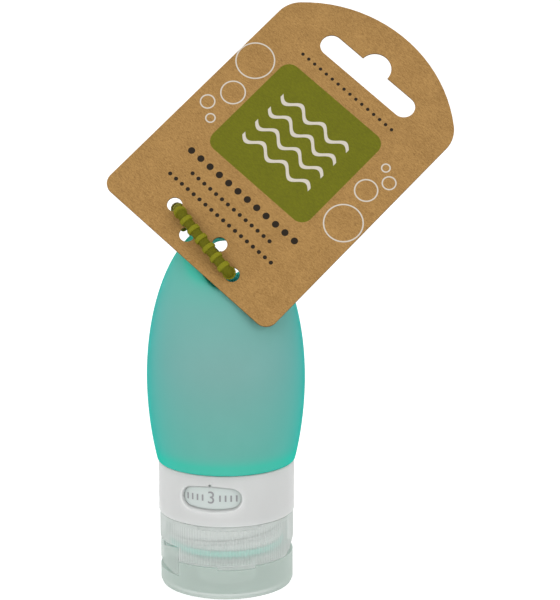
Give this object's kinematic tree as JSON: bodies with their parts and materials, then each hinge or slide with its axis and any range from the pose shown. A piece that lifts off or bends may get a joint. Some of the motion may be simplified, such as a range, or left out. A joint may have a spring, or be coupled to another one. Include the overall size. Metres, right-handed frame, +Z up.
{
  "type": "travel silicone bottle",
  "caption": "Squeezable silicone travel bottle standing on its screw-on flip-top cap, with a turning label window and a card tag tied through the hang hole at its tip.",
  "frame": {"origin": "centre of the lid's flat face, on the surface that the bottle stands on", "axes": "+Z up along the bottle's axis towards its tip, front along -Y, +X to the right in front view"},
  "size_m": [0.0817, 0.0457, 0.1378],
  "materials": {
    "silicone": "frosted translucent",
    "collar_white": "satin",
    "label_white": "satin",
    "cap_clear": "frosted clear",
    "valve_soft": "matte",
    "card": "uncoated",
    "tie_olive": "satin"
  },
  "bodies": {
    "bottle": {"silicone_body": "silicone", "neck_collar": "collar_white", "label_ring": "label_white"},
    "band": {"window_band": "collar_white"},
    "carrier": {"valve_retainer": "collar_white"},
    "cap": {"cap_base": "cap_clear", "drip_valve": "valve_soft", "butterfly_hinge": "cap_clear"},
    "lid": {"flip_lid": "cap_clear"},
    "tag": {"hang_tag": "card", "tag_tie": "tie_olive"}
  },
  "joints": [
    {"name": "band_turn", "type": "hinge", "parent": "bottle", "child": "band", "pos_m": [0, 0, 0.02425], "axis": [0, 0, 1], "continuous": true},
    {"name": "cap_lift", "type": "slide", "parent": "bottle", "child": "carrier", "axis": [0, 0, -1], "range_m": [0, 0.00901]},
    {"name": "cap_turn", "type": "hinge", "parent": "carrier", "child": "cap", "pos_m": [0, 0, 0.0132], "axis": [0, 0, -1], "range_deg": [0, 540]},
    {"name": "lid_flip", "type": "hinge", "parent": "cap", "child": "lid", "pos_m": [-0.01576, -0.00278, 0.00815], "axis": [-0.1736, 0.9848, 0], "range_deg": [0, 150], "deforming": ["butterfly_hinge"]},
    {"name": "tag_swing", "type": "hinge", "parent": "bottle", "child": "tag", "pos_m": [0, 0, 0.0784], "axis": [0, 1, 0], "range_deg": [-12, 12]}
  ],
  "couplings": [
    {"joint": "cap_lift", "follows": "cap_turn", "m_per_rad": 0.00095493}
  ]
}
